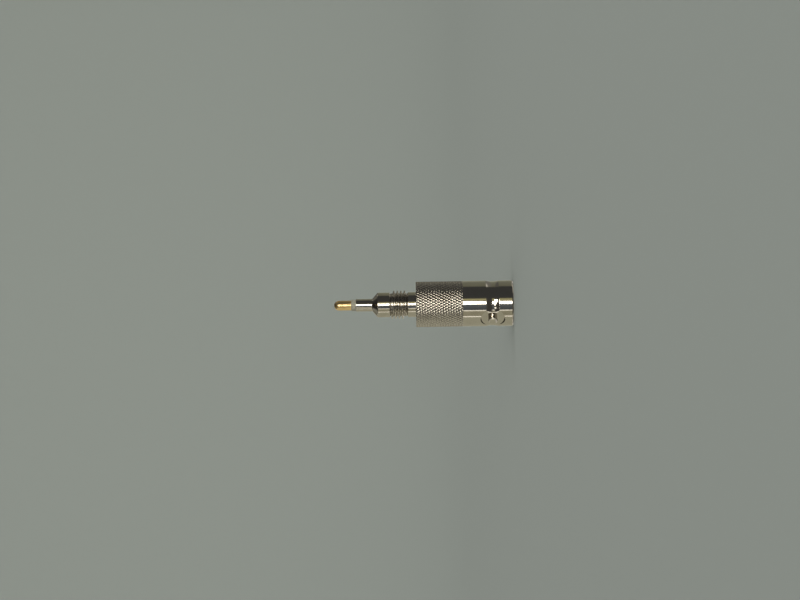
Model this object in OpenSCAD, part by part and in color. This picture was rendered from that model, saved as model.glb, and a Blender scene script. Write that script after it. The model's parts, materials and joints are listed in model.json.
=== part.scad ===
// Coaxial antenna adapter: a bayonet jack at the foot, a threaded stud plug with a gold tip at the head.
// It stands on the jack's mouth rim, with its axis on +Z and the two bayonet lugs on X. Millimetres.

/* [Jack barrel] */
// Outside diameter of the jack barrel and of the knurl crests
barrel_d = 9.65; // [9.5:0.05:9.9]
// Length of the smooth barrel, from the mouth rim to the knurl
barrel_len = 10.65; // [9.8:0.05:13]
// Wall of the barrel at the mouth, which leaves the bore for the mating outer contact
mouth_wall = 0.775; // [0.7:0.025:0.9]
// Depth of the mouth bore
mouth_depth = 8.4; // [7.5:0.1:9.4]
// Edge break outside and inside the mouth rim
rim_break = 0.2; // [0.05:0.05:0.3]

/* [Bayonet lugs] */
// Diameter of each bayonet lug
lug_d = 1.95; // [1.8:0.05:2.1]
// Distance over the two lug tips
lug_span = 11; // [10.7:0.05:11.3]
// Height of the lug axis above the mouth rim
lug_z = 4.4; // [3.6:0.1:5.4]
// Edge break round each lug tip
lug_break = 0.12; // [0.05:0.01:0.25]
// Diameter of the round recess milled about each lug
recess_d = 5.2; // [4.2:0.1:5.6]
// Depth of the recess floor below the barrel surface
recess_depth = 0.44; // [0.2:0.02:0.5]
// Width of the shallow groove that runs round the barrel at the lugs
groove_w = 2.7; // [1.6:0.1:3]
// Depth of that groove at its middle
groove_depth = 0.16; // [0.08:0.02:0.2]

/* [Knurled grip] */
// Length of the knurled grip
grip_len = 9.85; // [7:0.05:14]
// Diamonds round the grip
knurl_count = 48; // [30:1:60]
// Diamonds along the grip
knurl_rows = 9; // [5:1:14]
// Depth of the knurl from crest to valley
knurl_depth = 0.16; // [0.1:0.02:0.3]

/* [Threaded stud] */
// Diameter of the plain neck between grip and thread
neck_d = 5.3; // [5.1:0.05:5.6]
// Length of the neck
neck_len = 1.7; // [1:0.1:3]
// Major diameter of the thread
thread_d = 6; // [5.8:0.05:6.4]
// Pitch of the thread
thread_pitch = 0.75; // [0.7:0.05:0.8]
// Length from neck to pilot, thread and both reliefs together
thread_len = 3.8; // [3:0.1:6]
// Length of the relief at each end of the thread
relief_len = 0.3; // [0.2:0.05:0.5]
// Angle about the axis at which the thread starts, from the lug on +X
thread_start = 39; // [0:1:359]
// Diameter of the plain pilot ahead of the thread
pilot_d = 5.25; // [5.1:0.05:5.6]
// Length of the pilot
pilot_len = 2.6; // [1.8:0.1:4]
// Length of the cone from pilot to stem
cone_len = 1.1; // [0.6:0.1:1.6]
// Diameter of the stem
stem_d = 2.65; // [2.5:0.05:2.9]
// Length of the stem
stem_len = 3.5; // [2:0.1:5]

/* [Tip contact] */
// Diameter of the insulating ring that shows below the tip
ring_d = 2.4; // [2.2:0.05:2.6]
// Height of that ring
ring_len = 0.95; // [0.6:0.05:1.5]
// Diameter of the tip contact
tip_d = 2.05; // [1.8:0.05:2.2]
// Length of the tip contact with its domed end
tip_len = 3.65; // [2.5:0.05:5]
// Diameter of the shank that carries the tip
shank_d = 0.8; // [0.6:0.05:0.95]

/* [Inner line] */
// Step from the mouth bore down to the insulator seat
seat_step = 0.8; // [0.5:0.05:1]
// Length of the insulator seat
seat_len = 6; // [5:0.1:8]
// Outside diameter of the insulator nose in the mouth
nose_d = 4.75; // [4.5:0.05:5]
// Distance of the insulator nose behind the mouth rim
nose_setback = 3; // [2:0.1:3.6]
// Outside diameter of the socket contact
socket_d = 2.2; // [2.05:0.05:2.4]
// Bore of the socket contact
socket_bore_d = 1.4; // [1.3:0.02:1.46]
// Depth of the socket bore
socket_bore_len = 5; // [4.2:0.1:6]
// Width of each spring slit in the socket contact
slit_w = 0.2; // [0.1:0.02:0.24]
// Length of the spring slits
slit_len = 4; // [2.5:0.1:4.2]
// Bore in the stud that takes the core insulator
core_d = 4; // [3.6:0.1:4.2]
// Bore of the stem
stem_bore_d = 1.95; // [1.6:0.05:2]

/* [Hidden] */
$fn = 96;

nickel = [0.76, 0.74, 0.69];
gold = [0.87, 0.69, 0.30];
ptfe = [0.94, 0.94, 0.91];

// Radii of the turned outside
barrel_r = barrel_d / 2;
mouth_bore_d = barrel_d - 2 * mouth_wall;
seat_d = mouth_bore_d - 2 * seat_step;
valley_r = barrel_r - knurl_depth;
recess_flat = barrel_r - recess_depth;
groove_arc_r = (groove_w * groove_w / 4 + groove_depth * groove_depth) / (2 * groove_depth);
thread_root_r = thread_d / 2 - 0.72 * thread_pitch;
relief_r = thread_root_r - 0.06;

// Stations up the axis
tail_back = 2.4;
grip_top = barrel_len + grip_len;
neck_top = grip_top + neck_len;
thread_top = neck_top + thread_len;
pilot_top = thread_top + pilot_len;
cone_top = pilot_top + cone_len;
stem_top = cone_top + stem_len;
ring_top = stem_top + ring_len;
tip_top = ring_top + tip_len;
seat_top = mouth_depth + seat_len;
core_top = thread_top + 0.4 * pilot_len;

// Socket contact: spring barrel in front, collar behind it, solder tail that takes the tip shank
finger_gap = 0.06;
contact_front = nose_setback + 0.25;
collar_d = socket_d + 1;
collar_len = 1.2;
collar_foot = seat_top - tail_back;
collar_top = collar_foot + collar_len;
tail_d = socket_d - 0.4;
tail_top = seat_top + 2.1;
shank_foot = collar_top + 0.3;

// Small edge breaks, overlaps and skins
root_skin = 0.15;
edge = 0.1;
over = 1;
sink = 0.05;

// Knurled bar: vertices alternate between crest and valley, and each cell folds along its valley
module knurled_bar(z0, z1, r_hi, r_lo, count, rows) {
    cols = 2 * count;
    bands = 2 * rows;
    step = (z1 - z0) / bands;
    skin = [
        for (q = [0 : bands])
        for (p = [0 : cols - 1])
        let (end = (q == 0 || q == bands), r = (end || (p + q) % 2 == 0) ? r_lo : r_hi)
        [r * cos(p * 360 / cols), r * sin(p * 360 / cols), z0 + q * step]
    ];
    folds = [
        for (q = [0 : bands - 1])
        for (p = [0 : cols - 1])
        let (a = q * cols + p, b = q * cols + (p + 1) % cols, c = a + cols, d = b + cols)
        each ((p + q) % 2 == 0 ? [[a, c, d], [a, d, b]] : [[a, c, b], [b, c, d]])
    ];
    foot = [[for (p = [0 : cols - 1]) p]];
    head = [[for (p = [0 : cols - 1]) bands * cols + cols - 1 - p]];
    polyhedron(points = skin, faces = concat(folds, foot, head));
}

// Right-hand thread ridge, rooted inside its core and fading into it at both ends
module thread_ridge(z0, z1, r_root, r_major, pitch) {
    per_turn = 24;
    bury = 0.1;
    half_foot = 0.48 * pitch;
    half_crest = pitch / 16;
    climb = (z1 - z0) - 2 * half_foot;
    count = round(climb / pitch * per_turn);
    fade = per_turn / 5;
    points = [
        for (i = [0 : count])
        let (
            t = min(1, i / fade, (count - i) / fade),
            angle = i * 360 / per_turn,
            z = z0 + half_foot + climb * i / count,
            foot_r = r_root - bury,
            top_r = r_root - bury / 2 + t * (r_major - r_root + bury / 2)
        )
        for (corner = [
            [foot_r, -half_foot],
            [top_r, -half_crest],
            [top_r, half_crest],
            [foot_r, half_foot]
        ])
        [corner[0] * cos(angle), corner[0] * sin(angle), z + corner[1]]
    ];
    sides = [
        for (i = [0 : count - 1])
        for (k = [0 : 3])
        let (a = 4 * i + k, b = 4 * i + (k + 1) % 4, c = a + 4, d = b + 4)
        each [[a, b, c], [b, d, c]]
    ];
    first = [[3, 2, 1, 0]];
    last = [[for (k = [0 : 3]) 4 * count + k]];
    polyhedron(points = points, faces = concat(sides, first, last));
}

// Smooth barrel of the jack with the shallow groove at the lugs
module barrel_outside() {
    difference() {
        rotate_extrude()
            polygon([
                [0, 0],
                [barrel_r - rim_break, 0],
                [barrel_r, rim_break],
                [barrel_r, barrel_len],
                [0, barrel_len]
            ]);
        rotate_extrude()
            translate([barrel_r + groove_arc_r - groove_depth, lug_z])
            circle(r = groove_arc_r);
    }
}

// Round recess with a flat floor, one side of the barrel
module recess_cut() {
    translate([recess_flat, 0, lug_z])
        rotate([0, 90, 0])
        cylinder(d = recess_d, h = over + recess_depth);
}

// Bayonet lug, one side of the barrel, rooted in the barrel wall
module lug() {
    root = mouth_bore_d / 2 + root_skin;
    tip = lug_span / 2;
    translate([root, 0, lug_z])
        rotate([0, 90, 0]) {
            cylinder(d = lug_d, h = tip - lug_break - root);
            translate([0, 0, tip - lug_break - root])
                cylinder(d1 = lug_d, d2 = lug_d - 2 * lug_break, h = lug_break);
        }
}

// Turned outside of the stud: neck, thread core with reliefs, pilot, cone and stem
module stud_outside() {
    rotate_extrude()
        polygon([
            [0, grip_top - over],
            [neck_d / 2, grip_top - over],
            [neck_d / 2, neck_top - edge],
            [neck_d / 2 - edge, neck_top],
            [relief_r, neck_top],
            [relief_r, neck_top + relief_len],
            [thread_root_r, neck_top + relief_len + edge],
            [thread_root_r, thread_top - relief_len - edge],
            [relief_r, thread_top - relief_len],
            [relief_r, thread_top],
            [pilot_d / 2 - edge / 2, thread_top],
            [pilot_d / 2, thread_top + edge / 2],
            [pilot_d / 2, pilot_top],
            [stem_d / 2, cone_top],
            [stem_d / 2, stem_top - edge / 2],
            [stem_d / 2 - edge / 2, stem_top],
            [0, stem_top]
        ]);
}

// Stepped bore from the mouth to the stem
module line_bore() {
    rotate_extrude()
        polygon([
            [0, -over],
            [mouth_bore_d / 2 + rim_break, -over],
            [mouth_bore_d / 2 + rim_break, 0],
            [mouth_bore_d / 2, rim_break],
            [mouth_bore_d / 2, mouth_depth],
            [seat_d / 2, mouth_depth],
            [seat_d / 2, seat_top],
            [core_d / 2, seat_top],
            [core_d / 2, core_top],
            [stem_bore_d / 2, core_top],
            [stem_bore_d / 2, stem_top + over],
            [0, stem_top + over]
        ]);
}

// Shell, turned from one bar: jack barrel, lugs, grip and threaded stud
module body_shell() {
    color(nickel)
    difference() {
        union() {
            difference() {
                barrel_outside();
                recess_cut();
                rotate([0, 0, 180]) recess_cut();
            }
            lug();
            rotate([0, 0, 180]) lug();
            knurled_bar(barrel_len - sink, grip_top, barrel_r, valley_r, knurl_count, knurl_rows);
            stud_outside();
            rotate([0, 0, thread_start])
                thread_ridge(neck_top + sink, thread_top - sink, thread_root_r, thread_d / 2, thread_pitch);
        }
        line_bore();
    }
}

// Socket contact with four spring fingers, its collar and its solder tail
module socket_contact() {
    color(gold)
    difference() {
        rotate_extrude()
            polygon([
                [0, contact_front],
                [socket_d / 2 - edge, contact_front],
                [socket_d / 2, contact_front + edge],
                [socket_d / 2, collar_foot],
                [collar_d / 2, collar_foot],
                [collar_d / 2, collar_top],
                [tail_d / 2, collar_top],
                [tail_d / 2, tail_top],
                [0, tail_top]
            ]);
        translate([0, 0, contact_front - over])
            cylinder(d = socket_bore_d, h = socket_bore_len + over);
        translate([0, 0, contact_front - sink])
            cylinder(d1 = socket_bore_d + 2 * (edge + sink), d2 = socket_bore_d, h = edge + sink);
        for (turn = [45, 135])
            rotate([0, 0, turn])
                translate([-socket_d, -slit_w / 2, contact_front - over])
                cube([2 * socket_d, slit_w, slit_len + over]);
        translate([0, 0, shank_foot])
            cylinder(d = shank_d, h = tail_top - shank_foot + over);
    }
}

// Insulator pressed into the seat, with the nose that surrounds the socket contact
module jack_insulator() {
    color(ptfe)
    rotate_extrude()
        polygon([
            [socket_d / 2 + finger_gap, nose_setback],
            [nose_d / 2 - edge, nose_setback],
            [nose_d / 2, nose_setback + edge],
            [nose_d / 2, mouth_depth],
            [seat_d / 2, mouth_depth],
            [seat_d / 2, seat_top],
            [collar_d / 2, seat_top],
            [collar_d / 2, collar_foot],
            [socket_d / 2, collar_foot],
            [socket_d / 2, contact_front + socket_bore_len],
            [socket_d / 2 + finger_gap, contact_front + socket_bore_len]
        ]);
}

// Insulator in the grip and the stud, which backs the collar and carries the tip shank
module core_insulator() {
    color(ptfe)
    rotate_extrude()
        polygon([
            [tail_d / 2, collar_top],
            [collar_d / 2, collar_top],
            [collar_d / 2, seat_top],
            [core_d / 2, seat_top],
            [core_d / 2, core_top],
            [shank_d / 2, core_top],
            [shank_d / 2, tail_top],
            [tail_d / 2, tail_top]
        ]);
}

// Insulator in the stem, whose ring shows below the tip
module tip_insulator() {
    color(ptfe)
    rotate_extrude()
        polygon([
            [shank_d / 2, core_top],
            [stem_bore_d / 2, core_top],
            [stem_bore_d / 2, stem_top],
            [ring_d / 2, stem_top],
            [ring_d / 2, ring_top - edge / 2],
            [ring_d / 2 - edge / 2, ring_top],
            [shank_d / 2, ring_top]
        ]);
}

// Tip contact with a domed end, on the shank that runs down to the socket contact
module tip_contact() {
    dome_z = tip_top - tip_d / 2;
    color(gold)
    union() {
        translate([0, 0, ring_top])
            cylinder(d = tip_d, h = dome_z - ring_top);
        translate([0, 0, dome_z])
            intersection() {
                sphere(d = tip_d);
                cylinder(d = 2 * tip_d, h = tip_d);
            }
        translate([0, 0, shank_foot])
            cylinder(d = shank_d, h = ring_top - shank_foot + sink);
    }
}

body_shell();
socket_contact();
jack_insulator();
core_insulator();
tip_insulator();
tip_contact();
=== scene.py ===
"""Dresses the coaxial adapter: bayonet jack, knurled grip, threaded stud and gold tip contact.

The part stands on the jack's mouth rim with its axis on Z. All sizes are millimetres until a mesh is
finished, and metres after that.
"""

import json
import logging
import math
from dataclasses import dataclass
from enum import Enum

import bmesh
import bpy
from mathutils import Matrix, Vector

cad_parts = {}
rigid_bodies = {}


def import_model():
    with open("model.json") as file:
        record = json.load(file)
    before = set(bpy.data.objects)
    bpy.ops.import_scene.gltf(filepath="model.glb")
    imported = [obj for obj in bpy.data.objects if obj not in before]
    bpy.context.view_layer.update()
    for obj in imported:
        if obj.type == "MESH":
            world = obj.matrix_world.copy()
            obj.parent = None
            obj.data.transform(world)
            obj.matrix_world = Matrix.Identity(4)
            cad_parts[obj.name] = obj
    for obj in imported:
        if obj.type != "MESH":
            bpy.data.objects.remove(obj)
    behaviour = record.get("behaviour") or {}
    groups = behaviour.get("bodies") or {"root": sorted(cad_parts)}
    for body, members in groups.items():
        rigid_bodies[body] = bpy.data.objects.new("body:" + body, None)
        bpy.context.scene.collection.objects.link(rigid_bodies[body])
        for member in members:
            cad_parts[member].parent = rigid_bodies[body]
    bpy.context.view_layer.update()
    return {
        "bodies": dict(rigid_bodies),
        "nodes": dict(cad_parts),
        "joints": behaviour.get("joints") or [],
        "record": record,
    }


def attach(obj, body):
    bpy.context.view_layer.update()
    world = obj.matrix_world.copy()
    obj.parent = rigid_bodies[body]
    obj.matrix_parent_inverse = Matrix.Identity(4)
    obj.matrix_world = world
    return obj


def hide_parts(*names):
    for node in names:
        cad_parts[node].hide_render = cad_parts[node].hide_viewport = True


LOG = logging.getLogger("adapter")
# Metres in a millimetre.
MM = 0.001
# Mesh spans in half a diamond of the knurl.
KNURL_STEPS = 4
# Width of the strip beside an edge that keeps the edge's shade off the flat next to it.
GUARD = 0.06
# Lengths below this count as nothing, and points closer than the second are one point.
TINY = 1e-4
WELD_GAP = 1e-5
# Largest share of a profile's leg that a rounded corner takes, without and with its guard strip.
SOFT_SHARE = 0.42
GUARD_SHARE = 0.48
# Point attributes that the nickel plate reads: how much painted shade and soil a point gets in the knurl's
# valleys and the thread's roots, and whether a roller pressed it.
SHADE_AND_SOIL = "shade_and_soil"
ROLLED = "rolled"

Profile = list[tuple[float, float]]


class Cut(Enum):
    """How one solid works on another."""

    AWAY = "DIFFERENCE"
    JOIN = "UNION"


class Slot(Enum):
    """The record's material slots."""

    NICKEL = "nickel_plate"
    GOLD = "gold_plate"
    PTFE = "ptfe"


def linear(code: str) -> tuple[float, float, float, float]:
    """Turns an sRGB hex colour into linear RGBA.

    Args:
        code: The colour, such as "#D4CDC0".

    Returns:
        Red, green, blue and an alpha of 1.
    """
    parts = [int(code[i : i + 2], 16) / 255 for i in (1, 3, 5)]
    red, green, blue = (c / 12.92 if c <= 0.04045 else ((c + 0.055) / 1.055) ** 2.4 for c in parts)
    return red, green, blue, 1.0


def add_node(
    tree: bpy.types.NodeTree, kind: str, settings: dict | None = None, links: dict | None = None
) -> bpy.types.Node:
    """Adds a node with its settings and links.

    Args:
        tree: The node tree that gets the node.
        kind: Blender's name for the node type.
        settings: Field names or input sockets, with the value for each.
        links: Input sockets, with the output socket that feeds each.

    Returns:
        The new node.
    """
    node = tree.nodes.new(kind)
    for name, value in (settings or {}).items():
        if isinstance(name, str) and hasattr(node, name):
            setattr(node, name, value)
        else:
            node.inputs[name].default_value = value
    for name, source in (links or {}).items():
        tree.links.new(source, node.inputs[name])
    return node


@dataclass(frozen=True)
class Corner:
    """One corner of a turned profile: its radius, its height, and how far its edge is rounded."""

    r: float
    z: float
    soft: float = 0.0


def rounded(corners: list[Corner], closed: bool, steps: int = 3) -> Profile:
    """Rounds the corners of a turned profile.

    Args:
        corners: The profile's corners in order.
        closed: Whether the last corner joins the first.
        steps: Spans in each rounded corner.

    Returns:
        Radius and height of each point.
    """
    path: Profile = []
    count = len(corners)
    for i, corner in enumerate(corners):
        here = Vector((corner.r, corner.z))
        if corner.soft <= 0 or (not closed and i in (0, count - 1)):
            path.append((corner.r, corner.z))
            continue
        before = Vector((corners[i - 1].r, corners[i - 1].z)) - here
        after = Vector((corners[(i + 1) % count].r, corners[(i + 1) % count].z)) - here
        start = here + before.normalized() * min(corner.soft, SOFT_SHARE * before.length)
        end = here + after.normalized() * min(corner.soft, SOFT_SHARE * after.length)
        # A guard point on each side keeps the rounding's shade off the flat beside it.
        lead = here + before.normalized() * min(corner.soft + GUARD, GUARD_SHARE * before.length)
        path.append((lead.x, lead.y))
        for k in range(steps + 1):
            t = k / steps
            point = start * (1 - t) ** 2 + here * (2 * t * (1 - t)) + end * t**2
            path.append((point.x, point.y))
        lead = here + after.normalized() * min(corner.soft + GUARD, GUARD_SHARE * after.length)
        path.append((lead.x, lead.y))
    return path


@dataclass
class Ring:
    """One ring of a turned mesh.

    It has a height, a radius at each facet and how much painted shade and soil each point gets, most deep in
    a valley or root. A folded ring's faces are split along the knurl's grooves, and a rolled one was pressed
    by the knurling tool.
    """

    z: float
    radii: list[float]
    shade_and_soil: list[float]
    fold: bool = False
    rolled: float = 0.0


class Lathe:
    """Builds turned meshes from rings about the Z axis."""

    def __init__(self, facets: int) -> None:
        """Sets the facets round the axis."""
        self.facets = facets
        self.verts: list[tuple[float, float, float]] = []
        self.faces: list[tuple[int, ...]] = []
        self.marks: dict[str, list[float]] = {SHADE_AND_SOIL: [], ROLLED: []}

    def plain(self, r: float, z: float) -> Ring:
        """Gives a round ring."""
        return Ring(z, [r] * self.facets, [0.0] * self.facets)

    def angle(self, column: int) -> float:
        """Gives the angle of a facet's edge, in radians."""
        return 2 * math.pi * column / self.facets

    def _lay(self, ring: Ring) -> list[int]:
        """Adds a ring's points, or one point where it closes on the axis.

        Args:
            ring: The ring to add.

        Returns:
            The index of each point.
        """
        first = len(self.verts)
        if max(ring.radii) < TINY:
            self.verts.append((0.0, 0.0, ring.z))
            self.marks[SHADE_AND_SOIL].append(ring.shade_and_soil[0])
            self.marks[ROLLED].append(ring.rolled)
            return [first]
        for j, r in enumerate(ring.radii):
            a = self.angle(j)
            self.verts.append((r * math.cos(a), r * math.sin(a), ring.z))
            self.marks[SHADE_AND_SOIL].append(ring.shade_and_soil[j])
            self.marks[ROLLED].append(ring.rolled)
        return list(range(first, first + self.facets))

    def skin(self, rings: list[Ring], closed: bool) -> None:
        """Joins rings into a skin. Up the outside and down the inside faces outwards.

        Args:
            rings: The rings in order along the profile.
            closed: Whether the last ring joins the first.
        """
        rows = [self._lay(ring) for ring in rings]
        spans = len(rows) if closed else len(rows) - 1
        for k in range(spans):
            low, high = rows[k], rows[(k + 1) % len(rows)]
            fold = rings[k].fold
            for j in range(self.facets):
                n = (j + 1) % self.facets
                if len(low) == 1:
                    self.faces.append((low[0], high[n], high[j]))
                elif len(high) == 1:
                    self.faces.append((low[j], low[n], high[0]))
                elif fold:
                    rising = (j // KNURL_STEPS + (k - 1) // KNURL_STEPS) % 2 == 0
                    if rising:
                        self.faces += [(low[j], low[n], high[n]), (low[j], high[n], high[j])]
                    else:
                        self.faces += [(low[j], low[n], high[j]), (low[n], high[n], high[j])]
                else:
                    self.faces.append((low[j], low[n], high[n], high[j]))

    def profile(self, path: Profile, closed: bool) -> None:
        """Turns a profile of radius and height into a skin."""
        self.skin([self.plain(r, z) for r, z in path], closed)

    def piece(self, name: str) -> bpy.types.Object:
        """Makes a linked object from the skins.

        Args:
            name: The object's name.

        Returns:
            The object, still in millimetres.
        """
        mesh = bpy.data.meshes.new(name)
        mesh.from_pydata(self.verts, [], self.faces)
        for mark, values in self.marks.items():
            mesh.attributes.new(mark, "FLOAT", "POINT").data.foreach_set("value", values)
        mesh.update()
        thing = bpy.data.objects.new(name, mesh)
        bpy.context.scene.collection.objects.link(thing)
        return thing


def work(target: bpy.types.Object, tool: bpy.types.Object, how: Cut) -> None:
    """Cuts one solid away from another, or joins it on, and removes the tool.

    Args:
        target: The piece that is worked.
        tool: The solid that works it.
        how: Whether the tool is cut away or joined on.
    """
    change = target.modifiers.new("work", "BOOLEAN")
    change.operation = how.value
    change.solver = "EXACT"
    change.object = tool
    bpy.context.view_layer.update()
    shape = target.evaluated_get(bpy.context.evaluated_depsgraph_get())
    done = bpy.data.meshes.new_from_object(shape)
    target.modifiers.clear()
    rough = target.data
    target.data = done
    bpy.data.meshes.remove(rough)
    bpy.data.objects.remove(tool)


def settle(
    piece: bpy.types.Object, sharp_deg: float, soft_between: tuple[float, float] = (0.0, 0.0)
) -> None:
    """Ends a mesh: smooth faces, marked edges, metres.

    Args:
        piece: The object to end.
        sharp_deg: Edges that turn by more than this are left crisp.
        soft_between: Heights in millimetres between which every edge stays smooth.
    """
    bm = bmesh.new()
    bm.from_mesh(piece.data)
    bmesh.ops.remove_doubles(bm, verts=bm.verts[:], dist=WELD_GAP)
    low, high = soft_between
    for face in bm.faces:
        face.smooth = True
    for edge in bm.edges:
        z = (edge.verts[0].co.z + edge.verts[1].co.z) / 2
        crisp = len(edge.link_faces) == 2 and edge.calc_face_angle() > math.radians(sharp_deg)
        edge.smooth = not crisp or low < z < high
    bm.to_mesh(piece.data)
    bm.free()
    piece.data.transform(Matrix.Scale(MM, 4))
    piece.data.update()


def dress(piece: bpy.types.Object, finish: bpy.types.Material, node: str) -> None:
    """Gives a piece its material and its place in the part.

    Args:
        piece: The object to dress.
        finish: Its material.
        node: The CAD node that the piece stands for.
    """
    piece.data.materials.clear()
    piece.data.materials.append(finish)
    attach(piece, "root")
    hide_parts(node)


def turning_lines(
    tree: bpy.types.NodeTree, place: bpy.types.Node, line_mm: float, detail: float
) -> bpy.types.NodeSocket:
    """Scribes the lathe's feed lines, which run round the part and so change only along Z.

    Real ones are about 0.05 mm apart, and are drawn coarser here so that they show.

    Args:
        tree: The material's node tree.
        place: Its texture coordinates.
        line_mm: Spacing of the lines.
        detail: How much finer scratches show between them.

    Returns:
        The bent normal.
    """
    axis = add_node(tree, "ShaderNodeSeparateXYZ", None, {"Vector": place.outputs["Object"]})
    feed = add_node(
        tree,
        "ShaderNodeMath",
        {"operation": "MULTIPLY", 1: 1 / (line_mm * MM)},
        {0: axis.outputs["Z"]},
    )
    lines = add_node(
        tree,
        "ShaderNodeTexNoise",
        {"noise_dimensions": "1D", "Scale": 1.0, "Detail": detail},
        {"W": feed.outputs["Value"]},
    )
    relief = add_node(
        tree,
        "ShaderNodeBump",
        {"Strength": 0.05, "Distance": 0.02 * MM},
        {"Height": lines.outputs["Fac"]},
    )
    return relief.outputs["Normal"]


@dataclass(frozen=True)
class NickelPlate:
    """Bright nickel over turned brass: a warm grey mirror with faint turning lines, and hollows darkened by
    painted shade and soil.
    """

    bright: str = "#D4CDC0"
    dull: str = "#BDB5A6"
    shade_and_soil_colour: str = "#8E887C"
    roughness: float = 0.075
    dulling: float = 0.07
    soiled_roughness: float = 0.34
    rolled_roughness: float = 0.1
    line_mm: float = 0.14
    smear_mm: float = 2.2

    def make(self) -> bpy.types.Material:
        """Builds the material.

        Returns:
            The material, ready to use.
        """
        mat = bpy.data.materials.new("bright nickel plate, turned")
        mat.use_nodes = True
        tree = mat.node_tree
        shader = tree.nodes["Principled BSDF"]
        shader.inputs["Metallic"].default_value = 1.0
        place = add_node(tree, "ShaderNodeTexCoord")
        # Painted shade and soil: a point attribute that marks the knurl's valleys and the thread's roots.
        deep = add_node(tree, "ShaderNodeAttribute", {"attribute_name": SHADE_AND_SOIL})
        # Thin plate varies in tone over a few millimetres, where handling has dulled it.
        smear = add_node(
            tree,
            "ShaderNodeTexNoise",
            {"Scale": 1 / (self.smear_mm * MM), "Detail": 4.0, "Roughness": 0.6},
            {"Vector": place.outputs["Object"]},
        )
        tone = add_node(
            tree,
            "ShaderNodeMix",
            {"data_type": "RGBA", 6: linear(self.bright), 7: linear(self.dull)},
            {0: smear.outputs["Fac"]},
        )
        # Painted shade and soil: the marked valleys and roots are mixed towards a darker colour, and they
        # also turn rougher below.
        colour = add_node(
            tree,
            "ShaderNodeMix",
            {"data_type": "RGBA", 7: linear(self.shade_and_soil_colour)},
            {0: deep.outputs["Fac"], 6: tone.outputs[2]},
        )
        tree.links.new(colour.outputs[2], shader.inputs["Base Color"])
        cloudy = add_node(
            tree,
            "ShaderNodeMapRange",
            {
                "From Min": 0.35,
                "From Max": 0.75,
                "To Min": self.roughness,
                "To Max": self.roughness + self.dulling,
            },
            {"Value": smear.outputs["Fac"]},
        )
        # The knurl is pressed in by a roller, which leaves a duller skin than the lathe does.
        pressed = add_node(tree, "ShaderNodeAttribute", {"attribute_name": ROLLED})
        skin = add_node(
            tree,
            "ShaderNodeMix",
            {"data_type": "FLOAT", 3: self.rolled_roughness},
            {0: pressed.outputs["Fac"], 2: cloudy.outputs["Result"]},
        )
        rough = add_node(
            tree,
            "ShaderNodeMix",
            {"data_type": "FLOAT", 3: self.soiled_roughness},
            {0: deep.outputs["Fac"], 2: skin.outputs[0]},
        )
        tree.links.new(rough.outputs[0], shader.inputs["Roughness"])
        tree.links.new(turning_lines(tree, place, self.line_mm, 2.0), shader.inputs["Normal"])
        return mat


@dataclass(frozen=True)
class GoldPlate:
    """Gold plate over turned brass: a soft yellow gleam, rubbed a little duller in patches."""

    bright: str = "#FFE0A4"
    rubbed: str = "#F6D18E"
    roughness: float = 0.33
    dulling: float = 0.1
    patch_mm: float = 0.9
    line_mm: float = 0.1

    def make(self) -> bpy.types.Material:
        """Builds the material.

        Returns:
            The material, ready to use.
        """
        mat = bpy.data.materials.new("gold plate, turned")
        mat.use_nodes = True
        tree = mat.node_tree
        shader = tree.nodes["Principled BSDF"]
        shader.inputs["Metallic"].default_value = 1.0
        place = add_node(tree, "ShaderNodeTexCoord")
        patch = add_node(
            tree,
            "ShaderNodeTexNoise",
            {"Scale": 1 / (self.patch_mm * MM), "Detail": 3.0},
            {"Vector": place.outputs["Object"]},
        )
        colour = add_node(
            tree,
            "ShaderNodeMix",
            {"data_type": "RGBA", 6: linear(self.bright), 7: linear(self.rubbed)},
            {0: patch.outputs["Fac"]},
        )
        tree.links.new(colour.outputs[2], shader.inputs["Base Color"])
        rough = add_node(
            tree,
            "ShaderNodeMapRange",
            {
                "From Min": 0.3,
                "From Max": 0.7,
                "To Min": self.roughness,
                "To Max": self.roughness + self.dulling,
            },
            {"Value": patch.outputs["Fac"]},
        )
        tree.links.new(rough.outputs["Result"], shader.inputs["Roughness"])
        tree.links.new(turning_lines(tree, place, self.line_mm, 1.0), shader.inputs["Normal"])
        return mat


@dataclass(frozen=True)
class Ptfe:
    """PTFE, turned from rod: waxy white, with light that sinks in a little and a soft sheen."""

    white: str = "#A7A292"
    waxy: str = "#9B9686"
    roughness: float = 0.42
    smoother: float = 0.06
    rougher: float = 0.1
    ior: float = 1.35
    cloud_mm: float = 0.7
    depth_mm: float = 0.35

    def make(self) -> bpy.types.Material:
        """Builds the material.

        Returns:
            The material, ready to use.
        """
        mat = bpy.data.materials.new("PTFE, turned from rod")
        mat.use_nodes = True
        tree = mat.node_tree
        shader = tree.nodes["Principled BSDF"]
        shader.inputs["IOR"].default_value = self.ior
        shader.inputs["Subsurface Weight"].default_value = 0.5
        shader.inputs["Subsurface Radius"].default_value = (1.0, 0.9, 0.75)
        shader.inputs["Subsurface Scale"].default_value = self.depth_mm * MM
        place = add_node(tree, "ShaderNodeTexCoord")
        cloud = add_node(
            tree,
            "ShaderNodeTexNoise",
            {"Scale": 1 / (self.cloud_mm * MM), "Detail": 3.0},
            {"Vector": place.outputs["Object"]},
        )
        colour = add_node(
            tree,
            "ShaderNodeMix",
            {"data_type": "RGBA", 6: linear(self.white), 7: linear(self.waxy)},
            {0: cloud.outputs["Fac"]},
        )
        tree.links.new(colour.outputs[2], shader.inputs["Base Color"])
        rough = add_node(
            tree,
            "ShaderNodeMapRange",
            {"To Min": self.roughness - self.smoother, "To Max": self.roughness + self.rougher},
            {"Value": cloud.outputs["Fac"]},
        )
        tree.links.new(rough.outputs["Result"], shader.inputs["Roughness"])
        return mat


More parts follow.
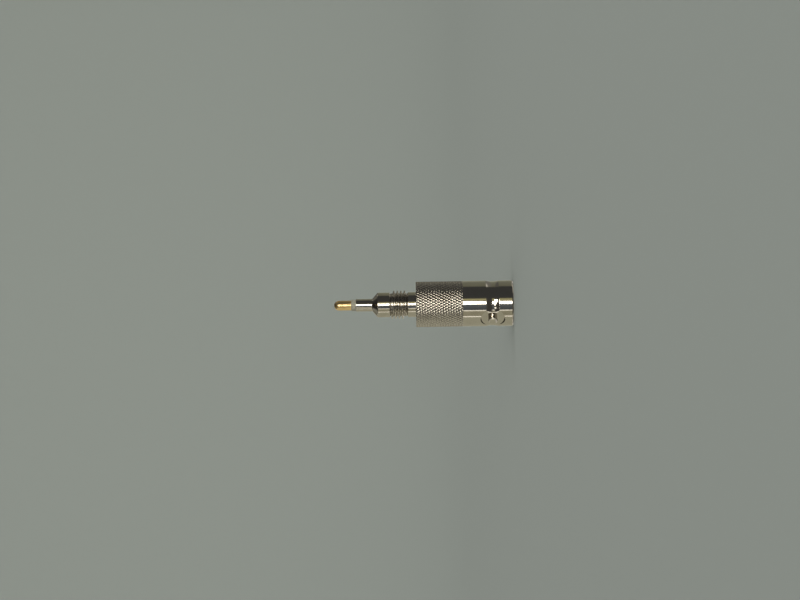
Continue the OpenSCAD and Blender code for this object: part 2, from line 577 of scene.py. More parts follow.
@dataclass(frozen=True)
class Paper:
    """Uncoated paper from a roll: a matt, even grey with next to no sheen."""

    grey: str = "#949993"
    roughness: float = 0.9
    sheen: float = 0.1

    def make(self) -> bpy.types.Material:
        """Builds the material.

        Returns:
            The material, ready to use.
        """
        mat = bpy.data.materials.new("matt paper sweep")
        mat.use_nodes = True
        shader = mat.node_tree.nodes["Principled BSDF"]
        shader.inputs["Base Color"].default_value = linear(self.grey)
        shader.inputs["Roughness"].default_value = self.roughness
        shader.inputs["Specular IOR Level"].default_value = self.sheen
        return mat


@dataclass
class Grip:
    """The diamond knurl: two crossed rows of grooves rolled into the bar.

    A diamond's flank and shoulder each have a share of the way in from the groove, and a share of the rise.
    """

    foot: float = 10.65
    top: float = 20.5
    pattern_foot: float = 10.6
    crest: float = 4.825
    depth: float = 0.106
    around: int = 48
    along: int = 9
    flank: float = 0.25
    flank_share: float = 0.65
    shoulder: float = 0.5
    shoulder_share: float = 0.84
    valley_shade_and_soil: float = 0.4
    foot_strip: float = 0.03
    break_h: float = 0.09
    break_top: float = 0.02
    break_r: float = 0.13

    def rise(self, column: float, band: float) -> float:
        """Gives the height of the pattern.

        Args:
            column: Half diamonds round the bar.
            band: Half diamonds up the bar.

        Returns:
            0 in a valley, 1 on a crest.
        """
        one = 1 - abs((column + band) % 2 - 1)
        two = 1 - abs((column - band) % 2 - 1)
        inward = min(one, two)
        knots = [
            (0.0, 0.0),
            (self.flank, self.flank_share),
            (self.shoulder, self.shoulder_share),
            (1.0, 1.0),
        ]
        for (low, foot), (high, head) in zip(knots, knots[1:]):
            if inward <= high:
                break
        return foot + (head - foot) * (inward - low) / (high - low)

    def ring(self, lathe: Lathe, z: float, cap: float) -> Ring:
        """Gives the knurled ring at a height.

        Args:
            lathe: The lathe, which has the facets.
            z: Height of the ring.
            cap: Largest radius there, where an end is broken.

        Returns:
            The ring.
        """
        band = (z - self.pattern_foot) / (self.top - self.pattern_foot) * 2 * self.along
        rises = [self.rise(j / KNURL_STEPS, band) for j in range(lathe.facets)]
        radii = [min(cap, self.crest - self.depth * (1 - rise)) for rise in rises]
        # Painted shade and soil: each point is marked darker the deeper it lies in a valley.
        return Ring(z, radii, [self.valley_shade_and_soil * (1 - rise) for rise in rises], True, 1.0)

    def rings(self, lathe: Lathe) -> list[Ring]:
        """Gives every ring of the grip, from the barrel's edge to the shoulder.

        Args:
            lathe: The lathe, which has the facets.

        Returns:
            The rings in order.
        """
        count = 2 * self.along * KNURL_STEPS
        step = (self.top - self.pattern_foot) / count
        rows = [lathe.plain(self.crest, self.foot)]
        rows.append(self.ring(lathe, self.foot + self.foot_strip, self.crest))
        rows += [self.ring(lathe, self.pattern_foot + k * step, self.crest) for k in range(1, count)]
        rows.append(self.ring(lathe, self.top - self.break_h, self.crest - self.break_top))
        rows.append(self.ring(lathe, self.top, self.crest - self.break_r))
        for ring in (rows[0], rows[-2], rows[-1]):
            ring.fold = False
        return rows


@dataclass
class Thread:
    """The stud's right-hand thread between its two reliefs.

    Lead, tail, run-in, run-out and fade are counted in turns, and the shares are parts of the pitch.
    """

    foot: float = 22.2
    top: float = 26.0
    relief: float = 0.3
    relief_r: float = 2.34
    edge_r: float = 2.56
    root_r: float = 2.46
    major_r: float = 3.0
    pitch: float = 0.75
    start_deg: float = 39.0
    sink: float = 0.05
    run_in: float = 0.2
    run_out: float = 0.1
    fade: float = 0.125
    lead: float = 0.587
    tail: float = 0.48
    foot_share: float = 0.36
    crest_share: float = 0.14
    root_shade_and_soil: float = 0.45
    margin: float = 0.04
    rows: int = 76

    def base(self, z: float) -> float:
        """Gives the radius under the ridge, with the V-shaped relief at either end.

        Args:
            z: Height.

        Returns:
            The radius.
        """
        inward = min(z - self.foot, self.top - z)
        half = self.relief / 2
        if inward >= self.relief:
            return self.root_r
        edge = self.edge_r if inward < half else self.root_r
        return self.relief_r + (edge - self.relief_r) * abs(inward - half) / half

    def at(self, angle: float, z: float) -> tuple[float, float]:
        """Gives the surface of the thread.

        Args:
            angle: Angle about the axis in radians.
            z: Height.

        Returns:
            The radius, and how much painted shade and soil the point gets, from 0 on a crest.
        """
        half_foot = self.foot_share * self.pitch
        half_crest = self.crest_share * self.pitch
        first = self.foot + self.sink + self.lead * self.pitch
        turns = (self.top - self.sink - first) / self.pitch - self.tail
        swing = ((angle - math.radians(self.start_deg)) % (2 * math.pi)) / (2 * math.pi)
        low = self.base(z)
        best = low
        near = round((z - first) / self.pitch - swing)
        for lap in (near - 1, near, near + 1):
            wound = lap + swing
            left = min(wound + self.run_in, turns + self.run_out - wound)
            if left >= 0:
                full = min(1.0, left / self.fade)
                off = abs(z - first - self.pitch * wound)
                shape = max(0.0, min(1.0, (half_foot - off) / (half_foot - half_crest)))
                best = max(best, low + full * (self.major_r - low) * shape)
        # Painted shade and soil: each point is marked darker the lower it lies towards a root or relief.
        return best, self.root_shade_and_soil * (1 - (best - self.relief_r) / (self.major_r - self.relief_r))

    def rings(self, lathe: Lathe) -> list[Ring]:
        """Gives every ring of the thread, from the neck to the pilot.

        Args:
            lathe: The lathe, which has the facets.

        Returns:
            The rings in order.
        """
        out = []
        for k in range(self.rows + 1):
            z = self.foot + (self.top - self.foot) * k / self.rows
            points = [self.at(lathe.angle(j), z) for j in range(lathe.facets)]
            out.append(Ring(z, [p[0] for p in points], [p[1] for p in points]))
        return out


@dataclass
class Shell:
    """The turned shell: jack barrel with its lugs, grip, and threaded stud.

    A field that ends in soft says how far an edge is rounded.
    """

    crisp_deg: float = 52.0
    barrel_r: float = 4.825
    mouth_r: float = 4.05
    mouth_depth: float = 8.4
    seat_r: float = 3.25
    seat_top: float = 14.4
    rim: float = 0.2
    rim_bore_soft: float = 0.08
    rim_inner_soft: float = 0.06
    rim_outer_soft: float = 0.08
    rim_side_soft: float = 0.1
    weld_z: float = 10.2
    lug_z: float = 4.4
    lug_r: float = 0.975
    lug_tip: float = 5.5
    lug_wall: float = 0.15
    lug_soft: float = 0.18
    lug_soft_steps: int = 6
    lug_dome: float = 4.6
    lug_spans: int = 5
    lug_facets: int = 96
    mill_reach: float = 8.0
    mill_facets: int = 160
    recess_r: float = 2.6
    recess_floor: float = 4.385
    recess_slope: float = 0.4
    groove_w: float = 2.7
    groove_deep: float = 0.16
    groove_spans: int = 14
    neck_r: float = 2.65
    neck_ledge: float = 0.25
    neck_soft: float = 0.06
    pilot_r: float = 2.625
    pilot_break: float = 0.06
    pilot_foot_soft: float = 0.05
    pilot_soft: float = 0.1
    pilot_top: float = 28.6
    cone_soft: float = 0.12
    cone_top: float = 29.7
    stem_r: float = 1.325
    stem_top: float = 33.2
    stem_soft: float = 0.07
    stem_bore_r: float = 0.975
    stem_bore_soft: float = 0.04
    core_r: float = 2.0
    core_top: float = 27.04

    def _groove(self) -> Profile:
        """Gives the concave groove round the barrel, an arc from the mouth side up.

        Returns:
            Radius and height of each point.
        """
        half = self.groove_w / 2
        arc = (half**2 + self.groove_deep**2) / (2 * self.groove_deep)
        centre = self.barrel_r + arc - self.groove_deep
        inner = half - GUARD / 2
        spans = self.groove_spans
        steps = [-half, *(inner * (2 * k / spans - 1) for k in range(spans + 1)), half]
        return [(centre - math.sqrt(arc**2 - dz**2), self.lug_z + dz) for dz in steps]

    def _lug_end(self, r: float) -> float:
        """Gives the height of the lug's slightly domed end at a radius from its axis."""
        return self.lug_tip - self.lug_dome + math.sqrt(self.lug_dome**2 - r**2)

    def _barrel(self, facets: int) -> bpy.types.Object:
        """Turns the barrel, mills the two recesses and joins the lugs.

        Args:
            facets: Facets round the axis.

        Returns:
            A closed tube, in millimetres.
        """
        foot = [
            Corner(self.mouth_r, self.mouth_depth),
            Corner(self.mouth_r, self.rim, self.rim_bore_soft),
            Corner(self.mouth_r + self.rim, 0.0, self.rim_inner_soft),
            Corner(self.barrel_r - self.rim, 0.0, self.rim_outer_soft),
            Corner(self.barrel_r, self.rim, self.rim_side_soft),
            Corner(self.barrel_r, self.lug_z - self.groove_w / 2 - GUARD),
        ]
        path = rounded(foot, False) + self._groove()
        path += [
            (self.barrel_r, self.lug_z + self.groove_w / 2 + GUARD),
            (self.barrel_r, self.weld_z),
            (self.seat_r, self.weld_z),
            (self.seat_r, self.mouth_depth),
        ]
        lathe = Lathe(facets)
        lathe.profile(path, True)
        tube = lathe.piece("body_shell_dressed")
        for side in (0.0, math.pi):
            work(tube, self._aside(self._mill(), side), Cut.AWAY)
            work(tube, self._aside(self._lug(), side), Cut.JOIN)
        return tube

    def _mill(self) -> bpy.types.Object:
        """Turns the cutter for a lug's recess, which has a flat floor and a sloped wall.

        Returns:
            The cutter, standing on Z.
        """
        floor, reach = self.recess_floor, self.mill_reach
        deep = self.recess_r - self.recess_slope * (self.barrel_r - floor)
        wide = self.recess_r + self.recess_slope * (reach - self.barrel_r)
        lathe = Lathe(self.mill_facets)
        lathe.profile([(0, floor), (deep, floor), (wide, reach), (0, reach)], False)
        return lathe.piece("mill")

    def _lug(self) -> bpy.types.Object:
        """Turns a bayonet lug with its slightly domed end.

        Returns:
            The lug, standing on Z, with its root inside the barrel's wall.
        """
        root = self.mouth_r + self.lug_wall
        corners = [Corner(0, root), Corner(self.lug_r, root)]
        corners.append(Corner(self.lug_r, self._lug_end(self.lug_r), self.lug_soft))
        for k in range(self.lug_spans - 2, -1, -1):
            r = self.lug_r * k / self.lug_spans
            corners.append(Corner(r, self._lug_end(r)))
        lathe = Lathe(self.lug_facets)
        lathe.profile(rounded(corners, False, self.lug_soft_steps), False)
        return lathe.piece("lug")

    def _aside(self, tool: bpy.types.Object, side: float) -> bpy.types.Object:
        """Lays a tool along X at the lugs' height.

        Args:
            tool: The tool, standing on Z.
            side: The angle of the barrel's side that it lies on, in radians.

        Returns:
            The same tool.
        """
        down = Matrix.Rotation(math.pi / 2, 4, "Y")
        lift = Matrix.Translation((0, 0, self.lug_z))
        tool.data.transform(Matrix.Rotation(side, 4, "Z") @ lift @ down)
        tool.data.update()
        return tool

    def _stud_top(self, foot: float) -> Profile:
        """Gives the profile from the pilot over the stem and down the bores to the weld.

        Args:
            foot: Height of the pilot's foot, where the thread ends.

        Returns:
            Radius and height of each point.
        """
        corners = [
            Corner(self.pilot_r - self.pilot_break, foot),
            Corner(self.pilot_r, foot + self.pilot_break, self.pilot_foot_soft),
            Corner(self.pilot_r, self.pilot_top, self.pilot_soft),
            Corner(self.stem_r, self.cone_top, self.cone_soft),
            Corner(self.stem_r, self.stem_top, self.stem_soft),
            Corner(self.stem_bore_r, self.stem_top, self.stem_bore_soft),
            Corner(self.stem_bore_r, self.core_top),
            Corner(self.core_r, self.core_top),
            Corner(self.core_r, self.seat_top),
            Corner(self.seat_r, self.seat_top),
            Corner(self.seat_r, self.weld_z),
        ]
        return rounded(corners, False)

    def build(self) -> bpy.types.Object:
        """Builds the whole shell as one closed mesh.

        Returns:
            The ended piece.
        """
        grip, thread = Grip(), Thread()
        facets = 2 * grip.around * KNURL_STEPS
        tube = self._barrel(facets)
        upper = Lathe(facets)
        rings = [upper.plain(self.barrel_r, z) for z in (self.weld_z, grip.foot - GUARD)]
        rings += grip.rings(upper)
        neck = [
            Corner(grip.crest - grip.break_r, grip.top),
            Corner(grip.crest - grip.break_r - GUARD, grip.top),
            Corner(self.neck_r + self.neck_ledge, grip.top),
            Corner(self.neck_r, grip.top, self.neck_soft),
            Corner(self.neck_r, thread.foot, self.neck_soft),
            Corner(thread.edge_r, thread.foot),
        ]
        rings += [upper.plain(r, z) for r, z in rounded(neck, False)[1:]]
        rings += thread.rings(upper)
        rings += [upper.plain(r, z) for r, z in self._stud_top(thread.top)]
        upper.skin(rings, False)
        top = upper.piece("upper")
        # The barrel loses its cap, and the upper skin is welded on in its place.
        bm = bmesh.new()
        bm.from_mesh(tube.data)
        for mark in (SHADE_AND_SOIL, ROLLED):
            if mark not in bm.verts.layers.float:
                bm.verts.layers.float.new(mark)
        cap = [f for f in bm.faces if all(abs(v.co.z - self.weld_z) < TINY for v in f.verts)]
        bmesh.ops.delete(bm, geom=cap, context="FACES")
        bm.from_mesh(top.data)
        bm.to_mesh(tube.data)
        bm.free()
        bpy.data.objects.remove(top)
        settle(tube, self.crisp_deg, (thread.foot + thread.margin, thread.top - thread.margin))
        return tube


@dataclass
class Line:
    """What carries the signal: socket contact, its insulator, tip contact and tip insulator.

    The bores that hold them are the shell's. A field that ends in soft says how far an edge is rounded.
    """

    shell: Shell
    crisp_deg: float = 35.0
    facets: int = 144
    socket_facets: int = 96
    socket_r: float = 1.1
    socket_bore_r: float = 0.7
    socket_front: float = 3.25
    socket_bore_end: float = 8.25
    socket_soft: float = 0.05
    lip: float = 0.1
    lip_soft: float = 0.03
    slit_w: float = 0.2
    slit_end: float = 7.25
    slit_turns: tuple[float, ...] = (45.0, 135.0)
    saw_len: float = 4.4
    saw_over: float = 1.0
    collar_r: float = 1.6
    collar_foot: float = 12.0
    collar_top: float = 13.2
    tail_r: float = 0.9
    tail_top: float = 16.5
    shank_r: float = 0.4
    shank_foot: float = 13.5
    nose_r: float = 2.375
    nose_front: float = 3.0
    nose_soft: float = 0.12
    finger_gap: float = 0.06
    finger_soft: float = 0.06
    ring_r: float = 1.2
    ring_top: float = 34.15
    ring_foot_soft: float = 0.05
    ring_soft: float = 0.08
    tip_r: float = 1.025
    tip_top: float = 37.8
    tip_soft: float = 0.06
    dome_spans: int = 18

    def socket(self) -> bpy.types.Object:
        """Turns the socket contact and saws its four slits.

        Returns:
            The ended piece.
        """
        corners = [
            Corner(0, self.socket_bore_end),
            Corner(self.socket_bore_r, self.socket_bore_end),
            Corner(self.socket_bore_r, self.socket_front + self.lip, self.socket_soft),
            Corner(self.socket_bore_r + self.lip, self.socket_front, self.lip_soft),
            Corner(self.socket_r - self.lip, self.socket_front, self.socket_soft),
            Corner(self.socket_r, self.socket_front + self.lip, self.socket_soft),
            Corner(self.socket_r, self.collar_foot),
            Corner(self.collar_r, self.collar_foot, self.socket_soft),
            Corner(self.collar_r, self.collar_top, self.socket_soft),
            Corner(self.tail_r, self.collar_top),
            Corner(self.tail_r, self.tail_top, self.socket_soft),
            Corner(self.shank_r, self.tail_top),
            Corner(self.shank_r, self.shank_foot),
            Corner(0, self.shank_foot),
        ]
        lathe = Lathe(self.socket_facets)
        lathe.profile(rounded(corners, False), False)
        contact = lathe.piece("socket_contact_dressed")
        height = self.slit_end - self.socket_front + self.saw_over
        size = Matrix.Diagonal((self.saw_len, self.slit_w, height, 1.0))
        lift = Matrix.Translation((0, 0, self.slit_end - height / 2))
        for turn in self.slit_turns:
            saw = bpy.data.meshes.new("saw")
            bm = bmesh.new()
            bmesh.ops.create_cube(bm, size=1.0)
            swing = Matrix.Rotation(math.radians(turn), 4, "Z")
            bmesh.ops.transform(bm, matrix=swing @ lift @ size, verts=bm.verts[:])
            bm.to_mesh(saw)
            bm.free()
            blade = bpy.data.objects.new("saw", saw)
            bpy.context.scene.collection.objects.link(blade)
            work(contact, blade, Cut.AWAY)
        settle(contact, self.crisp_deg)
        return contact

    def jack_insulator(self) -> bpy.types.Object:
        """Turns the insulator in the mouth, with a gap round the socket's fingers.

        Returns:
            The ended piece.
        """
        shell, gap_r = self.shell, self.socket_r + self.finger_gap
        corners = [
            Corner(gap_r, self.nose_front, self.finger_soft),
            Corner(self.nose_r, self.nose_front, self.nose_soft),
            Corner(self.nose_r, shell.mouth_depth),
            Corner(shell.seat_r, shell.mouth_depth),
            Corner(shell.seat_r, shell.seat_top),
            Corner(self.collar_r, shell.seat_top),
            Corner(self.collar_r, self.collar_foot),
            Corner(self.socket_r, self.collar_foot),
            Corner(self.socket_r, self.socket_bore_end),
            Corner(gap_r, self.socket_bore_end),
        ]
        return self._turn("jack_insulator_dressed", rounded(corners, True), True)

    def tip_insulator(self) -> bpy.types.Object:
        """Turns the stem's insulator with its ring.

        Returns:
            The ended piece.
        """
        shell = self.shell
        corners = [
            Corner(self.shank_r, shell.core_top),
            Corner(shell.stem_bore_r, shell.core_top),
            Corner(shell.stem_bore_r, shell.stem_top),
            Corner(self.ring_r, shell.stem_top, self.ring_foot_soft),
            Corner(self.ring_r, self.ring_top, self.ring_soft),
            Corner(self.shank_r, self.ring_top),
        ]
        return self._turn("tip_insulator_dressed", rounded(corners, True), True)

    def tip(self) -> bpy.types.Object:
        """Turns the tip contact with its dome and shank.

        Returns:
            The ended piece.
        """
        corners = [
            Corner(0, self.shank_foot),
            Corner(self.shank_r, self.shank_foot),
            Corner(self.shank_r, self.ring_top),
            Corner(self.tip_r, self.ring_top, self.tip_soft),
            Corner(self.tip_r, self.tip_top - self.tip_r),
        ]
        path = rounded(corners, False)
        for k in range(1, self.dome_spans):
            a = math.pi / 2 * k / self.dome_spans
            path.append((self.tip_r * math.cos(a), self.tip_top - self.tip_r * (1 - math.sin(a))))
        path.append((0.0, self.tip_top))
        return self._turn("tip_contact_dressed", path, False)

    def _turn(self, name: str, path: Profile, closed: bool) -> bpy.types.Object:
        """Turns a piece from its profile.

        Args:
            name: The object's name.
            path: Radius and height of each point of the profile.
            closed: Whether the profile closes on itself.

        Returns:
            The ended piece.
        """
        lathe = Lathe(self.facets)
        lathe.profile(path, closed)
        piece = lathe.piece(name)
        settle(piece, self.crisp_deg)
        return piece


Stop = tuple[float, str]


@dataclass(frozen=True)
class SoftBox:
    """A bright or dark panel in the surroundings.

    Its spans about the axis and above the horizon are in degrees, and so is its soft edge.
    """

    turn: tuple[float, float]
    lift: tuple[float, float]
    power: float
    edge: float


@dataclass(frozen=True)
class Lamp:
    """A square soft lamp: its angle from the camera, distance from the axis, height, width and watts."""

    name: str
    turn_deg: float
    reach: float
    height: float
    size: float
    watts: float


def even(*stretches: tuple[float, float, str]) -> list[Stop]:
    """Gives the stops of stretches that each have one colour."""
    return [(deg, code) for low, high, code in stretches for deg in (low, high)]


def twins(turn: tuple[float, float], lift: tuple[float, float], power: float, edge: float) -> list[SoftBox]:
    """Gives a soft box above the horizon and its mirror image below."""
    return [SoftBox(turn, span, power, edge) for span in (lift, (-lift[1], -lift[0]))]


# The surroundings that the metal mirrors, in tiers from the horizon up and down. A stop is an angle about the
# axis, in degrees from the camera, and the colour there. At the horizon it is pale on the side towards the
# picture's foot and dark on the other, and the tiers above and below light the flanks of knurl and thread.
SHADE = "#3E3F40"
DUSK = "#4A4A48"
PALE = "#D0D0C6"
STONE = "#A9A998"
LEVEL = [
    (-180, STONE),
    (-72, "#AEAE9F"),
    (-68, "#9F9D8C"),
    (-36, "#A5A391"),
    (-33, "#50565C"),
    (-4, "#666D75"),
    (10, "#5A5A52"),
    (15, "#B9B58C"),
    (23, "#B0AC84"),
    *even((27, 92, "#424344")),
    (100, "#747568"),
    (135, "#7E8074"),
    (180, STONE),
]
ABOVE = even(
    (-180, -155, SHADE),
    (-146, -118, "#8C8C80"),
    (-112, -82, SHADE),
    (-74, -32, "#6C6C64"),
    (-18, 18, "#5C5C56"),
    (36, 110, SHADE),
    (125, 150, "#6E6E68"),
    (160, 180, SHADE),
)
BELOW = [
    *even((-180, -173, PALE), (-168, -138, DUSK), (-132, -118, PALE), (-112, -84, DUSK)),
    (-76, "#A2A298"),
    (-36, "#94948A"),
    *even((-18, 18, "#8A8A80"), (36, 80, "#58595C")),
    (98, "#C0C0B6"),
    (126, PALE),
    *even((132, 156, DUSK), (162, 180, PALE)),
]
STEEP = even((-180, -152, "#3C3C3C"), (-144, -118, "#8C8D86"), (-112, 180, "#3C3C3C"))
ZENITH = even((-180, 180, "#303030"))
NADIR = even((-180, 180, "#3C3C3C"))
# Heights in degrees between which each tier takes over, from the horizon up and from the horizon down.
TIERS = [
    (25.0, 31.0, ABOVE),
    (50.0, 57.0, STEEP),
    (60.0, 68.0, ZENITH),
    (-25.0, -31.0, BELOW),
    (-59.0, -66.0, NADIR),
]
# A later box covers an earlier one: thin strips, dark flags by the camera, panels round the back, then the
# key light and the patches beside it that give the groove and the knurl their sparkle.
BOXES = [
    SoftBox((-37.5, -33.5), (-12.0, 12.0), 1.5, 0.5),
    SoftBox((-71.0, -67.0), (-12.0, 12.0), 1.7, 0.5),
    *twins((-92.0, -66.0), (12.0, 27.0), 0.55, 2.0),
    *twins((-58.0, 27.0), (4.8, 27.0), 0.06, 0.9),
    SoftBox((98.0, 185.0), (5.0, 27.0), 0.12, 2.0),
    SoftBox((98.0, 185.0), (-14.0, -5.0), 0.2, 2.0),
    SoftBox((98.0, 185.0), (-27.0, -14.0), 0.66, 2.0),
    SoftBox((-185.0, -88.0), (-27.0, -14.0), 0.62, 2.0),
    *twins((98.0, 126.0), (20.0, 34.0), 0.95, 2.0),
    *twins((-126.0, -98.0), (20.0, 34.0), 0.95, 2.0),
    SoftBox((-2.5, 9.5), (-3.7, 6.0), 10.0, 0.4),
    SoftBox((6.0, 20.0), (5.0, 16.5), 8.4, 1.2),
    SoftBox((-3.0, 6.0), (5.0, 11.0), 8.4, 1.2),
    SoftBox((-12.0, -3.0), (5.0, 8.0), 6.4, 1.2),
    SoftBox((-28.0, -20.0), (4.5, 11.0), 2.0, 1.5),
]
# The boxes' light is slightly warm: its red, green and blue.
WARM = (1.0, 0.985, 0.93)
LAMPS = [
    Lamp("over", 60.0, 120.0, 1000.0, 1100.0, 9.0),
    Lamp("front", 8.0, 1050.0, 330.0, 900.0, 6.0),
    Lamp("back", 188.0, 1050.0, 330.0, 900.0, 5.0),
]


@dataclass
class Studio:
    """A pale round sweep, soft lamps, and the surroundings that the bright metal mirrors.

    Angles about the axis are counted from the camera, positive to the picture's top.
    """

    camera_deg: float = 43.5
    distance: float = 495.0
    aim_z: float = 23.85
    raised: float = 1.0
    roll_deg: float = 0.88
    lens: float = 105.3
    sensor: float = 36.0
    clip_m: tuple[float, float] = (0.01, 10.0)
    sweep_r: float = 1100.0
    sweep_facets: int = 128
    sweep_crisp_deg: float = 60.0
    floor_rings: tuple[float, ...] = (200.0, 60.0, 0.0)
    cove: float = 580.0
    cove_spans: int = 24
    wall: float = 1000.0
    lamp_aim_z: float = 19.0
    dimmer: float = 0.73

    def sweep(self) -> None:
        """Builds the floor and the wall as one round sweep."""
        path = [(self.sweep_r, self.wall)]
        for k in range(self.cove_spans + 1):
            a = math.pi / 2 * k / self.cove_spans
            path.append((self.sweep_r - self.cove * (1 - math.cos(a)), self.cove * (1 - math.sin(a))))
        path += [(r, 0.0) for r in self.floor_rings]
        lathe = Lathe(self.sweep_facets)
        lathe.profile(path, False)
        ground = lathe.piece("sweep")
        settle(ground, self.sweep_crisp_deg)
        ground.data.materials.append(Paper().make())
        # The metal mirrors the surroundings instead of the sweep.
        ground.visible_glossy = False
        ground.visible_shadow = False

    def hang(self, lamp: Lamp) -> None:
        """Hangs a soft lamp that faces the part.

        Args:
            lamp: The lamp and its place.
        """
        data = bpy.data.lights.new(lamp.name, "AREA")
        data.size = lamp.size * MM
        data.energy = lamp.watts * self.dimmer
        thing = bpy.data.objects.new(lamp.name, data)
        bpy.context.scene.collection.objects.link(thing)
        a = math.radians(self.camera_deg + lamp.turn_deg)
        place = Vector((lamp.reach * math.cos(a), lamp.reach * math.sin(a), lamp.height)) * MM
        aim = Vector((0, 0, self.lamp_aim_z * MM))
        thing.location = place
        thing.rotation_euler = (aim - place).to_track_quat("-Z", "Y").to_euler()
        thing.visible_camera = False
        thing.visible_glossy = False

    def _panorama(
        self, tree: bpy.types.NodeTree, turn: bpy.types.NodeSocket, stops: list[Stop]
    ) -> bpy.types.NodeSocket:
        """Lays colours round the horizon.

        Args:
            tree: The world's node tree.
            turn: The angle about the axis, in radians.
            stops: Degrees from the camera, with the colour there.

        Returns:
            The colour at the angle.
        """
        share = add_node(
            tree, "ShaderNodeMapRange", {"From Min": -math.pi, "From Max": math.pi}, {"Value": turn}
        )
        ramp = add_node(tree, "ShaderNodeValToRGB", None, {"Fac": share.outputs["Result"]})
        band = ramp.color_ramp
        while len(band.elements) < len(stops):
            band.elements.new(1.0)
        for element, (deg, code) in zip(band.elements, stops):
            element.position = (deg + 180) / 360
            element.color = linear(code)
        return ramp.outputs["Color"]

    def _window(
        self,
        tree: bpy.types.NodeTree,
        turn: bpy.types.NodeSocket,
        lift: bpy.types.NodeSocket,
        box: SoftBox,
    ) -> bpy.types.NodeSocket:
        """Masks one soft box in the surroundings.

        Args:
            tree: The world's node tree.
            turn: The angle about the axis, in radians.
            lift: The angle above the horizon, in radians.
            box: The soft box.

        Returns:
            1 inside the box and 0 outside, with a soft edge.
        """
        sides = []
        for source, (low, high) in ((turn, box.turn), (lift, box.lift)):
            middle, half = (low + high) / 2, (high - low) / 2
            off = add_node(
                tree, "ShaderNodeMath", {"operation": "SUBTRACT", 1: math.radians(middle)}, {0: source}
            )
            away = add_node(tree, "ShaderNodeMath", {"operation": "ABSOLUTE"}, {0: off.outputs["Value"]})
            side = add_node(
                tree,
                "ShaderNodeMapRange",
                {
                    "interpolation_type": "SMOOTHSTEP",
                    "From Min": math.radians(half + box.edge),
                    "From Max": math.radians(max(0.0, half - box.edge)),
                },
                {"Value": away.outputs["Value"]},
            )
            sides.append(side.outputs["Result"])
        both = add_node(tree, "ShaderNodeMath", {"operation": "MULTIPLY"}, {0: sides[0], 1: sides[1]})
        return both.outputs["Value"]

    def surroundings(self) -> None:
        """Builds the world from its tiers and soft boxes."""
        world = bpy.data.worlds.new("studio")
        bpy.context.scene.world = world
        world.use_nodes = True
        tree = world.node_tree
        tree.nodes.clear()
        place = add_node(tree, "ShaderNodeTexCoord")
        # The world's Generated coordinates are a fixed direction in space, so a turn by the camera's place
        # in the studio puts that place at zero.
        turned = add_node(
            tree,
            "ShaderNodeVectorRotate",
            {"rotation_type": "Z_AXIS", "Angle": -math.radians(self.camera_deg)},
            {"Vector": place.outputs["Generated"]},
        )
        axis = add_node(tree, "ShaderNodeSeparateXYZ", None, {"Vector": turned.outputs["Vector"]})
        around = add_node(
            tree, "ShaderNodeMath", {"operation": "ARCTAN2"}, {0: axis.outputs["Y"], 1: axis.outputs["X"]}
        )
        lifted = add_node(tree, "ShaderNodeMath", {"operation": "ARCSINE"}, {0: axis.outputs["Z"]})
        turn, lift = around.outputs["Value"], lifted.outputs["Value"]
        colour = self._panorama(tree, turn, LEVEL)
        for low, high, stops in TIERS:
            share = add_node(
                tree,
                "ShaderNodeMapRange",
                {
                    "interpolation_type": "SMOOTHSTEP",
                    "From Min": math.radians(low),
                    "From Max": math.radians(high),
                },
                {"Value": lift},
            )
            mixed = add_node(
                tree,
                "ShaderNodeMix",
                {"data_type": "RGBA"},
                {0: share.outputs["Result"], 6: colour, 7: self._panorama(tree, turn, stops)},
            )
            colour = mixed.outputs[2]
        for box in BOXES:
            mixed = add_node(
                tree,
                "ShaderNodeMix",
                {"data_type": "RGBA", 7: (*(part * box.power for part in WARM), 1.0)},
                {0: self._window(tree, turn, lift, box), 6: colour},
            )
            colour = mixed.outputs[2]
        glow = add_node(tree, "ShaderNodeBackground", {"Strength": 1.0}, {"Color": colour})
        add_node(tree, "ShaderNodeOutputWorld", None, {"Surface": glow.outputs["Background"]})

    def camera(self) -> None:
        """Places the camera square to the axis, rolled so that the tip points to the picture's left."""
        a = math.radians(self.camera_deg)
        roll = math.radians(self.roll_deg)
        back = Vector((math.cos(a), math.sin(a), 0))
        up = Vector((-math.sin(a), math.cos(a), 0))
        right = Vector((0, 0, -1))
        over = up * math.cos(roll) + right * math.sin(roll)
        across = right * math.cos(roll) - up * math.sin(roll)
        data = bpy.data.cameras.new("camera")
        data.lens = self.lens
        data.sensor_width = self.sensor
        data.clip_start, data.clip_end = self.clip_m
        eye = bpy.data.objects.new("camera", data)
        bpy.context.scene.collection.objects.link(eye)
        place = (Vector((0, 0, self.aim_z)) + back * self.distance + up * self.raised) * MM
        frame = Matrix((across, over, back)).transposed().to_4x4()
        eye.matrix_world = Matrix.Translation(place) @ frame
        bpy.context.scene.camera = eye

    def build(self) -> None:
        """Builds the sweep, lamps, surroundings and camera."""
        self.sweep()
        self.surroundings()
        for lamp in LAMPS:
            self.hang(lamp)
        self.camera()


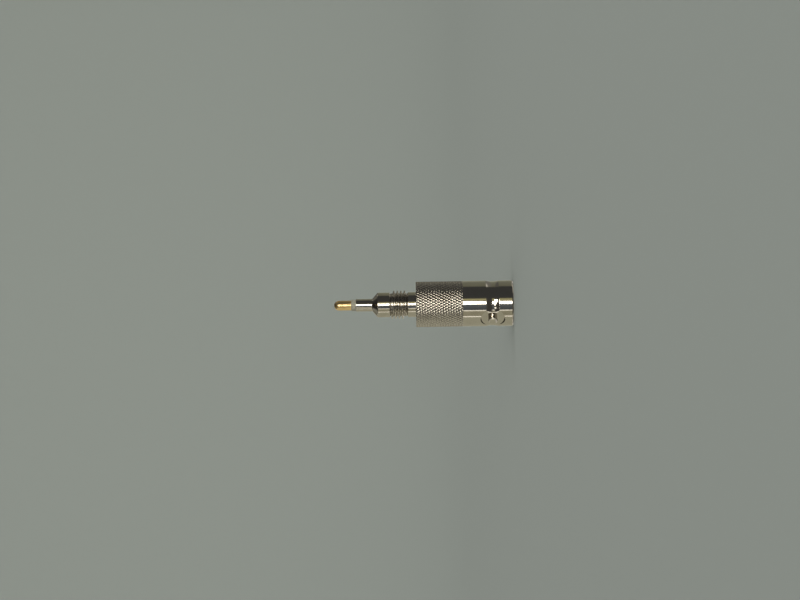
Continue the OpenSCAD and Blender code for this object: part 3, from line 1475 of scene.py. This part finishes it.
def main() -> None:
    """Builds the part and the studio in order."""
    logging.basicConfig(level=logging.INFO, format="%(name)s: %(message)s")
    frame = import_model()
    nickel, gold, ptfe = NickelPlate().make(), GoldPlate().make(), Ptfe().make()
    shell = Shell()
    line = Line(shell)
    pieces = [
        (shell.build, nickel, Slot.NICKEL, "body_shell"),
        (line.socket, gold, Slot.GOLD, "socket_contact"),
        (line.jack_insulator, ptfe, Slot.PTFE, "jack_insulator"),
        (line.tip_insulator, ptfe, Slot.PTFE, "tip_insulator"),
        (line.tip, gold, Slot.GOLD, "tip_contact"),
    ]
    for build, finish, slot, node in pieces:
        piece = build()
        dress(piece, finish, node)
        LOG.info("%s: %d faces", node, len(piece.data.polygons))
    core = frame["nodes"]["core_insulator"]
    core.data.materials.clear()
    core.data.materials.append(ptfe)
    LOG.info("core_insulator: CAD solid, sealed inside the shell")
    Studio().build()
    bpy.context.scene.view_settings.view_transform = "Standard"


if __name__ == "__main__":
    main()
